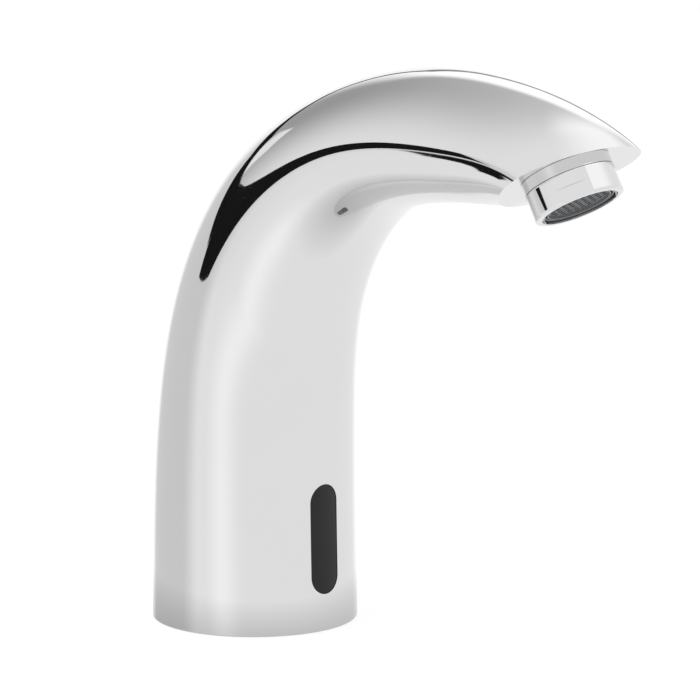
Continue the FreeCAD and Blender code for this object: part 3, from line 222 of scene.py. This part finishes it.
def buildStudio(look):
    world = bpy.data.worlds.new("studio")
    scene.world = world
    world.use_nodes = True
    tree = world.node_tree
    tree.nodes.clear()

    where = addNode(tree, "ShaderNodeTexCoord").outputs["Generated"]
    split = addNode(tree, "ShaderNodeSeparateXYZ")
    tree.links.new(where, split.inputs[0])
    turn = calc(tree, "ARCTAN2", split.outputs[1], split.outputs[0])
    turn = calc(tree, "WRAP", calc(tree, "DEGREES", turn), 360.0, 0.0)
    rise = calc(tree, "DEGREES", calc(tree, "ARCSINE", split.outputs[2]))

    upper = upperStudio(tree, look, where, turn, rise)
    lower = lowerStudio(tree, look, turn, rise)

    # the long dark flag between them, paler and softer at its far end
    flag = look["flag"]
    offset = calc(tree, "SUBTRACT", rise, track(tree, turn, flag["middle"]))
    aside = blend(tree, soft(tree, rise, *look["horizon"]), look["white"], upper)
    ahead = blend(tree, soft(tree, offset, -flag["crossing"], flag["crossing"]), lower, upper)
    seen = blend(tree, between(tree, turn, *look["front"]), aside, ahead)
    edge = blend(tree, soft(tree, turn, *flag["softTurn"]), *flag["softEdge"])
    half = track(tree, turn, flag["half"])
    outer = calc(tree, "ADD", half, edge)
    inner = calc(tree, "SUBTRACT", half, calc(tree, "MULTIPLY", edge, flag["inward"]))
    band = soft(tree, calc(tree, "ABSOLUTE", offset), outer, inner)
    band = calc(tree, "MULTIPLY", band, between(tree, turn, *flag["ends"]))
    dark = blend(tree, soft(tree, turn, *flag["darkTurn"]), flag["pale"], flag["dark"])
    seen = blend(tree, band, seen, dark)

    # a soft glow to the left of the camera, and a duller strip beside it
    glow, shade = look["glow"], look["shade"]
    gap = calc(tree, "SUBTRACT", turn, track(tree, rise, glow["middle"]))
    hump = bell(tree, calc(tree, "DIVIDE", gap, track(tree, rise, glow["wide"])))
    hump = calc(tree, "MULTIPLY", hump, between(tree, rise, *glow["rise"]))
    seen = calc(tree, "MULTIPLY_ADD", hump, glow["gain"], seen)
    gap = calc(tree, "SUBTRACT", turn, shade["turn"])
    hump = bell(tree, calc(tree, "DIVIDE", gap, shade["wide"]))
    hump = calc(tree, "MULTIPLY", hump, between(tree, rise, *shade["rise"]))
    seen = calc(tree, "MULTIPLY_ADD", hump, shade["gain"], seen)

    # the thin dark arm that holds the card
    arm = look["arm"]
    gap = calc(tree, "ABSOLUTE", calc(tree, "SUBTRACT", turn, track(tree, rise, arm["path"])))
    gap = calc(tree, "SUBTRACT", gap, calc(tree, "MULTIPLY_ADD", rise, arm["widen"], arm["half"]))
    line = soft(tree, gap, arm["edge"], -arm["edge"])
    line = calc(tree, "MULTIPLY", line, between(tree, rise, *arm["rise"]))
    seen = blend(tree, line, seen, flag["dark"])

    # metal sees the shapes; the camera and glass see white, and matt surfaces a plain light
    path = addNode(tree, "ShaderNodeLightPath")
    strength = blend(tree, path.outputs["Is Glossy Ray"], look["white"], seen)
    strength = blend(tree, path.outputs["Is Diffuse Ray"], strength, look["plainLight"])
    ground = addNode(tree, "ShaderNodeBackground")
    ground.inputs["Color"].default_value = (1, 1, 1, 1)
    tree.links.new(strength, ground.inputs["Strength"])
    out = addNode(tree, "ShaderNodeOutputWorld")
    tree.links.new(ground.outputs[0], out.inputs["Surface"])


buildStudio(studioLook)
print("studio built")


# the black card that stands close to the tap
cardLook = {
    "distance": -0.257,
    "top": [(-0.66, 0.25), (-0.40, 0.185), (-0.20, 0.14), (-0.08, 0.12)],
    "bottom": [(-0.66, 0.17), (-0.40, 0.075), (-0.20, 0.06), (-0.08, 0.075)],
    "shade": 0.012,
    "rough": 0.9,
}


def placeMesh(name, bm):
    mesh = bpy.data.meshes.new(name)
    bm.to_mesh(mesh)
    bm.free()
    made = bpy.data.objects.new(name, mesh)
    scene.collection.objects.link(made)
    return made


def mattPaint(name, shade, rough):
    paint = bpy.data.materials.new(name)
    paint.use_nodes = True
    shader = paint.node_tree.nodes["Principled BSDF"]
    shader.inputs["Base Color"].default_value = (shade, shade, shade, 1)
    shader.inputs["Roughness"].default_value = rough
    shader.inputs["Specular IOR Level"].default_value = 0.0
    return paint, shader


def onlyGlossy(obj):
    obj.visible_camera = obj.visible_diffuse = obj.visible_transmission = False
    obj.visible_volume_scatter = obj.visible_shadow = False


def makeCard(look):
    bm = bmesh.new()
    rows = [[bm.verts.new((x, look["distance"], z)) for x, z in look[side]] for side in ("top", "bottom")]
    edges = [bm.edges.new((a, b)) for row in rows for a, b in zip(row, row[1:])]
    bmesh.ops.bridge_loops(bm, edges=edges)
    card = placeMesh("blackCard", bm)
    card.data.materials.append(mattPaint("blackCard", look["shade"], look["rough"])[0])
    onlyGlossy(card)


makeCard(cardLook)


# the grey the foot's own contact shadow leaves in its reflection
shadeLook = {"level": -0.0001, "radius": 0.082, "inner": 0.028, "dark": 0.31, "segments": 96}


def makeFootShade(look):
    bm = bmesh.new()
    bmesh.ops.create_circle(bm, cap_ends=True, segments=look["segments"], radius=look["radius"])
    bmesh.ops.translate(bm, vec=(0, 0, look["level"]), verts=bm.verts)
    disc = placeMesh("footShade", bm)
    paint = bpy.data.materials.new("footShade")
    paint.use_nodes = True
    tree = paint.node_tree
    tree.nodes.clear()
    where = addNode(tree, "ShaderNodeTexCoord").outputs["Object"]
    far = addNode(tree, "ShaderNodeVectorMath", operation="LENGTH")
    tree.links.new(where, far.inputs[0])
    across = addNode(tree, "ShaderNodeMapRange")
    values = (far.outputs["Value"], look["inner"], look["radius"], 1 - look["dark"], 1.0)
    for amount, socket in zip(values, across.inputs):
        plug(tree, amount, socket)
    clear = addNode(tree, "ShaderNodeBsdfTransparent")
    tree.links.new(across.outputs[0], clear.inputs["Color"])
    out = addNode(tree, "ShaderNodeOutputMaterial")
    tree.links.new(clear.outputs[0], out.inputs["Surface"])
    disc.data.materials.append(paint)
    onlyGlossy(disc)


makeFootShade(shadeLook)


# floor: white where nothing shades it
floorLook = {"size": 4.0, "level": -0.0002, "own": 0.78, "lit": 0.28, "rough": 1.0}


def makeFloor(look):
    bm = bmesh.new()
    bmesh.ops.create_grid(bm, x_segments=1, y_segments=1, size=look["size"])
    bmesh.ops.translate(bm, vec=(0, 0, look["level"]), verts=bm.verts)
    floor = placeMesh("studioFloor", bm)
    paint, shader = mattPaint("studioFloor", look["lit"], look["rough"])
    shader.inputs["Emission Color"].default_value = (1, 1, 1, 1)
    shader.inputs["Emission Strength"].default_value = look["own"]
    floor.data.materials.append(paint)
    floor.visible_glossy = False


makeFloor(floorLook)

lampLook = {
    "key": {"place": (-0.5, -0.9, 1.3), "size": 1.0, "power": 6.0},
    "fill": {"place": (1.1, -0.5, 0.8), "size": 1.2, "power": 3.0},
}


def placeLamps(look):
    for name, values in look.items():
        data = bpy.data.lights.new(name, "AREA")
        data.shape = "DISK"
        data.size = values["size"]
        data.energy = values["power"]
        lamp = bpy.data.objects.new(name, data)
        scene.collection.objects.link(lamp)
        lamp.location = values["place"]
        lamp.rotation_mode = "QUATERNION"
        lamp.rotation_quaternion = (-Vector(values["place"])).to_track_quat("-Z", "Y")
        lamp.visible_glossy = False


placeLamps(lampLook)
print("card, foot shade, floor and lamps placed")


# effects shared by the finishes
def startGroup(name, inputs, outputs):
    group = bpy.data.node_groups.new(name, "ShaderNodeTree")
    for label, kind, value in inputs:
        socket = group.interface.new_socket(name=label, in_out="INPUT", socket_type=kind)
        if value is not None:
            socket.default_value = value
    for label, kind in outputs:
        group.interface.new_socket(name=label, in_out="OUTPUT", socket_type=kind)
    return group, addNode(group, "NodeGroupInput"), addNode(group, "NodeGroupOutput")


def noiseAt(tree, vector, scale, detail=2.0, rough=0.5):
    made = addNode(tree, "ShaderNodeTexNoise")
    tree.links.new(vector, made.inputs["Vector"])
    plug(tree, scale, made.inputs["Scale"])
    made.inputs["Detail"].default_value = detail
    made.inputs["Roughness"].default_value = rough
    return made.outputs["Fac"]


def makeScratchGroup():
    # hair lines from wiping: long thin noise, laid in three directions
    group, source, out = startGroup(
        "wipeScratches",
        [("Vector", "NodeSocketVector", None), ("Density", "NodeSocketFloat", 60.0),
         ("Amount", "NodeSocketFloat", 0.5)],
        [("Mask", "NodeSocketFloat")])
    total = None
    for turn in ((0.3, 0.2, 0.5), (1.2, -0.4, 2.1), (-0.7, 0.9, 1.3)):
        laid = addNode(group, "ShaderNodeMapping")
        laid.inputs["Rotation"].default_value = turn
        laid.inputs["Scale"].default_value = (1.0, 40.0, 40.0)
        group.links.new(source.outputs["Vector"], laid.inputs["Vector"])
        lines = noiseAt(group, laid.outputs[0], source.outputs["Density"], 1.0)
        lines = soft(group, lines, 0.66, 0.72)
        total = lines if total is None else calc(group, "MAXIMUM", total, lines)
    patchy = noiseAt(group, source.outputs["Vector"], 25.0)
    total = calc(group, "MULTIPLY", total, soft(group, patchy, 0.42, 0.62))
    group.links.new(calc(group, "MULTIPLY", total, source.outputs["Amount"]), out.inputs["Mask"])
    return group


def makeMottleGroup():
    # slow cloudy variation with a fine one on top
    group, source, out = startGroup(
        "mottle",
        [("Vector", "NodeSocketVector", None), ("Broad", "NodeSocketFloat", 18.0),
         ("Fine", "NodeSocketFloat", 400.0)],
        [("Mask", "NodeSocketFloat"), ("Grain", "NodeSocketFloat")])
    broad = noiseAt(group, source.outputs["Vector"], source.outputs["Broad"], 3.0)
    fine = noiseAt(group, source.outputs["Vector"], source.outputs["Fine"], 2.0)
    group.links.new(soft(group, broad, 0.3, 0.7), out.inputs["Mask"])
    group.links.new(fine, out.inputs["Grain"])
    return group


def makeLatheGroup():
    # faint rings left by turning, round the piece's own axis
    group, source, out = startGroup(
        "turnedRings",
        [("Vector", "NodeSocketVector", None), ("Pitch", "NodeSocketFloat", 2200.0)],
        [("Height", "NodeSocketFloat")])
    split = addNode(group, "ShaderNodeSeparateXYZ")
    group.links.new(source.outputs["Vector"], split.inputs[0])
    squares = [calc(group, "POWER", split.outputs[axis], 2.0) for axis in (0, 1)]
    flat = calc(group, "ADD", *squares)
    way = calc(group, "ADD", calc(group, "SQRT", flat), split.outputs[2])
    wave = calc(group, "SINE", calc(group, "MULTIPLY", way, source.outputs["Pitch"]))
    rough = noiseAt(group, source.outputs["Vector"], 300.0)
    height = calc(group, "MULTIPLY", calc(group, "MULTIPLY_ADD", wave, 0.5, 0.5), rough)
    group.links.new(height, out.inputs["Height"])
    return group


def makeWearGroup():
    # where a piece has an edge narrower than the radius, broken up a little
    group, source, out = startGroup(
        "edgeWear",
        [("Vector", "NodeSocketVector", None), ("Radius", "NodeSocketFloat", 0.0003)],
        [("Mask", "NodeSocketFloat")])
    rounded = addNode(group, "ShaderNodeBevel", samples=4)
    group.links.new(source.outputs["Radius"], rounded.inputs["Radius"])
    plain = addNode(group, "ShaderNodeNewGeometry")
    near = addNode(group, "ShaderNodeVectorMath", operation="DOT_PRODUCT")
    group.links.new(rounded.outputs[0], near.inputs[0])
    group.links.new(plain.outputs["Normal"], near.inputs[1])
    edge = soft(group, near.outputs["Value"], 0.985, 0.90)
    patchy = noiseAt(group, source.outputs["Vector"], 500.0)
    group.links.new(calc(group, "MULTIPLY", edge, soft(group, patchy, 0.3, 0.6)), out.inputs["Mask"])
    return group


scratches, mottle = makeScratchGroup(), makeMottleGroup()
lathe, wear = makeLatheGroup(), makeWearGroup()


# finishes: what a user would change is in each dictionary
finishes = {
    "chrome": {"color": (0.723, 0.723, 0.727), "spread": 0.99, "metal": 1.0, "rough": (0.022, 0.036),
               "grain": 900.0, "broad": 22.0, "scratch": 0.05, "bump": 0.0},
    "brass": {"color": (0.74, 0.53, 0.25), "spread": 0.82, "metal": 1.0, "rough": (0.22, 0.38),
              "grain": 900.0, "broad": 60.0, "scratch": 0.25, "bump": 0.04, "rings": 2600.0},
    "steel": {"color": (0.60, 0.61, 0.63), "spread": 0.88, "metal": 1.0, "rough": (0.22, 0.36),
              "grain": 1400.0, "broad": 90.0, "scratch": 0.3, "bump": 0.03, "rings": 3400.0},
    "black_plastic": {"color": (0.030, 0.030, 0.034), "spread": 0.7, "metal": 0.0, "rough": (0.42, 0.6),
                      "grain": 2400.0, "broad": 70.0, "scratch": 0.15, "bump": 0.12},
    "grey_plastic": {"color": (0.15, 0.154, 0.16), "spread": 0.9, "metal": 0.0, "rough": (0.32, 0.45),
                     "grain": 2600.0, "broad": 120.0, "scratch": 0.1, "bump": 0.05},
    "white_plastic": {"color": (0.80, 0.80, 0.78), "spread": 0.94, "metal": 0.0, "rough": (0.25, 0.38),
                      "grain": 1800.0, "broad": 80.0, "scratch": 0.1, "bump": 0.04},
    "window_plastic": {"color": (0.008, 0.008, 0.009), "spread": 0.75, "metal": 0.0, "rough": (0.16, 0.26),
                       "grain": 2200.0, "broad": 90.0, "scratch": 0.1, "bump": 0.01, "shine": 0.28},
    "rubber": {"color": (0.022, 0.022, 0.024), "spread": 0.7, "metal": 0.0, "rough": (0.55, 0.75),
               "grain": 1900.0, "broad": 80.0, "scratch": 0.05, "bump": 0.15},
    "circuit": {"color": (0.02, 0.16, 0.075), "spread": 0.7, "metal": 0.0, "rough": (0.25, 0.4),
                "grain": 3000.0, "broad": 400.0, "scratch": 0.1, "bump": 0.05},
    "diode": {"color": (0.08, 0.05, 0.10), "spread": 0.8, "metal": 0.0, "rough": (0.08, 0.16),
              "grain": 2500.0, "broad": 200.0, "scratch": 0.05, "bump": 0.0},
    "tube_plastic": {"color": (0.70, 0.73, 0.74), "spread": 0.93, "metal": 0.0, "rough": (0.28, 0.4),
                     "grain": 1600.0, "broad": 60.0, "scratch": 0.1, "bump": 0.03},
}


# what every finish shares: rougher edges, the usual gloss, and how deep the bumps are
surfaceLook = {"edgeRough": 0.08, "shine": 0.5, "bumpDepth": 0.0002}


def makeFinish(name, look):
    paint = bpy.data.materials.new(name)
    paint.use_nodes = True
    tree = paint.node_tree
    shader = tree.nodes["Principled BSDF"]
    where = addNode(tree, "ShaderNodeTexCoord").outputs["Object"]
    cloud = addNode(tree, "ShaderNodeGroup", node_tree=mottle)
    tree.links.new(where, cloud.inputs["Vector"])
    cloud.inputs["Broad"].default_value = look["broad"]
    cloud.inputs["Fine"].default_value = look["grain"]
    wiped = addNode(tree, "ShaderNodeGroup", node_tree=scratches)
    tree.links.new(where, wiped.inputs["Vector"])
    wiped.inputs["Amount"].default_value = look["scratch"]
    color = look["color"] + (1,)
    darker = tuple(part * look["spread"] for part in look["color"]) + (1,)
    tree.links.new(tint(tree, cloud.outputs["Mask"], darker, color), shader.inputs["Base Color"])
    shader.inputs["Metallic"].default_value = look["metal"]
    low, high = look["rough"]
    rough = calc(tree, "MULTIPLY_ADD", cloud.outputs["Mask"], high - low, low)
    rough = calc(tree, "ADD", rough, wiped.outputs["Mask"])
    edges = addNode(tree, "ShaderNodeGroup", node_tree=wear)
    tree.links.new(where, edges.inputs["Vector"])
    tree.links.new(calc(tree, "MULTIPLY_ADD", edges.outputs["Mask"], surfaceLook["edgeRough"], rough),
                   shader.inputs["Roughness"])
    shader.inputs["Specular IOR Level"].default_value = look.get("shine", surfaceLook["shine"])
    if look["bump"]:
        height = cloud.outputs["Grain"]
        if "rings" in look:
            turned = addNode(tree, "ShaderNodeGroup", node_tree=lathe)
            tree.links.new(where, turned.inputs["Vector"])
            turned.inputs["Pitch"].default_value = look["rings"]
            height = calc(tree, "ADD", height, turned.outputs["Height"])
        bump = addNode(tree, "ShaderNodeBump")
        bump.inputs["Strength"].default_value = look["bump"]
        bump.inputs["Distance"].default_value = surfaceLook["bumpDepth"]
        tree.links.new(height, bump.inputs["Height"])
        tree.links.new(bump.outputs[0], shader.inputs["Normal"])
    return paint


paints = {name: makeFinish(name, look) for name, look in finishes.items()}
slotOf = {part["node"]: part["material_slot"] for part in frame["record"]["subparts"]}
for name, obj in frame["nodes"].items():
    for slot in obj.material_slots:
        slot.material = paints[slotOf[name]]
print("finishes made:", len(paints))


# the body: its own shape again with even normals, taken from a fine guide skin
bodyLook = {
    "reach": 0.124,
    "rise": 0.1425,
    "radius": 0.0302,
    # centre forward, centre up, half height, half width, as shares of the three sizes above
    "sections": [(0, 0, 1, 1), (0, 0.1, 0.993, 0.997), (0, 0.2, 0.982, 0.993), (0.008, 0.411, 0.937, 0.983),
                 (0.050, 0.651, 0.838, 0.965), (0.181, 0.867, 0.750, 0.937), (0.462, 1.023, 0.651, 0.874),
                 (0.788, 1.048, 0.576, 0.801), (1.014, 1.010, 0.452, 0.755), (1.164, 0.912, 0.298, 0.689)],
    "rings": 140,
    "around": 112,
    "near": 0.0015,  # how far the guide may lie from the body's own surface
    "turned": (12.0, 30.0),  # the guide counts fully below the first angle, not at all above the second
    "weld": 1e-6,
}


def drawSpline(places, values, wanted, slopes=None):
    # a cubic through the values, with the end slopes or free ends; gives values and slopes
    steps = np.diff(places)[:, None]
    rises = np.diff(values, axis=0) / steps
    count = len(places)
    matrix, right = np.eye(count), np.zeros_like(values)
    for i in range(1, count - 1):
        matrix[i, i - 1:i + 2] = (steps[i - 1, 0], 2 * (steps[i - 1, 0] + steps[i, 0]), steps[i, 0])
        right[i] = 6 * (rises[i] - rises[i - 1])
    if slopes is not None:
        matrix[0, :2] = (2 * steps[0, 0], steps[0, 0])
        matrix[-1, -2:] = (steps[-1, 0], 2 * steps[-1, 0])
        right[0], right[-1] = 6 * (rises[0] - slopes[0]), 6 * (slopes[1] - rises[-1])
    bends = np.linalg.solve(matrix, right)
    span = np.clip(np.searchsorted(places, wanted) - 1, 0, count - 2)
    step, ahead, past = steps[span], (places[span + 1] - wanted)[:, None], (wanted - places[span])[:, None]
    low, high = bends[span], bends[span + 1]
    value = (low * ahead ** 3 + high * past ** 3) / (6 * step)
    value += (values[span] / step - low * step / 6) * ahead
    value += (values[span + 1] / step - high * step / 6) * past
    slope = (high * past ** 2 - low * ahead ** 2) / (2 * step) + rises[span] - (high - low) * step / 6
    return value, slope


def makeGuide(look):
    shares = np.array(look["sections"], dtype=float)
    centres = shares[:, :2] * (look["reach"], look["rise"])
    places = np.concatenate([[0.0], np.cumsum(np.linalg.norm(np.diff(centres, axis=0), axis=1))])
    last = centres[-1] - centres[-2]
    slopes = (np.array((0.0, 1.0)), last / np.linalg.norm(last))
    along = drawSpline(places, centres, places, slopes)[1]
    along /= np.linalg.norm(along, axis=1)[:, None]
    across = np.stack([-along[:, 1], along[:, 0]], axis=1) * shares[:, 2:3] * look["radius"]
    rows = np.concatenate([centres, across, shares[:, 3:] * look["radius"]], axis=1)
    guide = bmesh.new()
    previous = None
    for x, z, tallX, tallZ, wide in drawSpline(places, rows, np.linspace(0, places[-1], look["rings"]))[0]:
        placed = Matrix(((tallX, 0, 0, x), (0, wide, 0, 0), (tallZ, 0, 0, z), (0, 0, 0, 1)))
        made = bmesh.ops.create_circle(guide, segments=look["around"], radius=1.0, matrix=placed)["verts"]
        edges = list({edge for vert in made for edge in vert.link_edges if len(edge.link_faces) == 0})
        if previous:
            bmesh.ops.bridge_loops(guide, edges=previous + edges)
        previous = edges
    bmesh.ops.recalc_face_normals(guide, faces=guide.faces)
    guide.normal_update()
    guide.faces.ensure_lookup_table()
    return guide


def guideNormal(guide, tree, place, reach):
    spot, _, index, _ = tree.find_nearest(place, reach)
    if spot is None:
        return None
    corners = guide.faces[index].verts
    shares = poly_3d_calc([vert.co for vert in corners], spot)
    total = Vector()
    for share, vert in zip(shares, corners):
        total += share * vert.normal
    return total.normalized()


def makeBody(look):
    source = frame["nodes"]["spout_body"].data
    normals = [Vector(corner.vector) for corner in source.corner_normals]
    bm = bmesh.new()
    bm.from_mesh(source)
    bmesh.ops.remove_doubles(bm, verts=bm.verts, dist=look["weld"])
    body = placeMesh("spoutSkin", bm)
    mesh = body.data
    guide = makeGuide(look)
    tree = BVHTree.FromBMesh(guide)
    found = [guideNormal(guide, tree, vert.co, look["near"]) for vert in mesh.vertices]
    full, none = (math.cos(math.radians(turned)) for turned in look["turned"])
    smoothed = 0
    for face in mesh.polygons:
        face.use_smooth = True
    for corner, loop in enumerate(mesh.loops):
        wanted = found[loop.vertex_index]
        if wanted is None:
            continue
        share = (wanted.dot(normals[corner]) - none) / (full - none)
        if share > 0:
            smoothed += 1
            normals[corner] = normals[corner].lerp(wanted, min(share, 1.0)).normalized()
    guide.free()
    mesh.normals_split_custom_set(normals)
    mesh.materials.append(paints["chrome"])
    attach(body, "tap")
    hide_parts("spout_body")
    print("body skin smoothed:", smoothed, "of", len(mesh.loops), "corners")


makeBody(bodyLook)
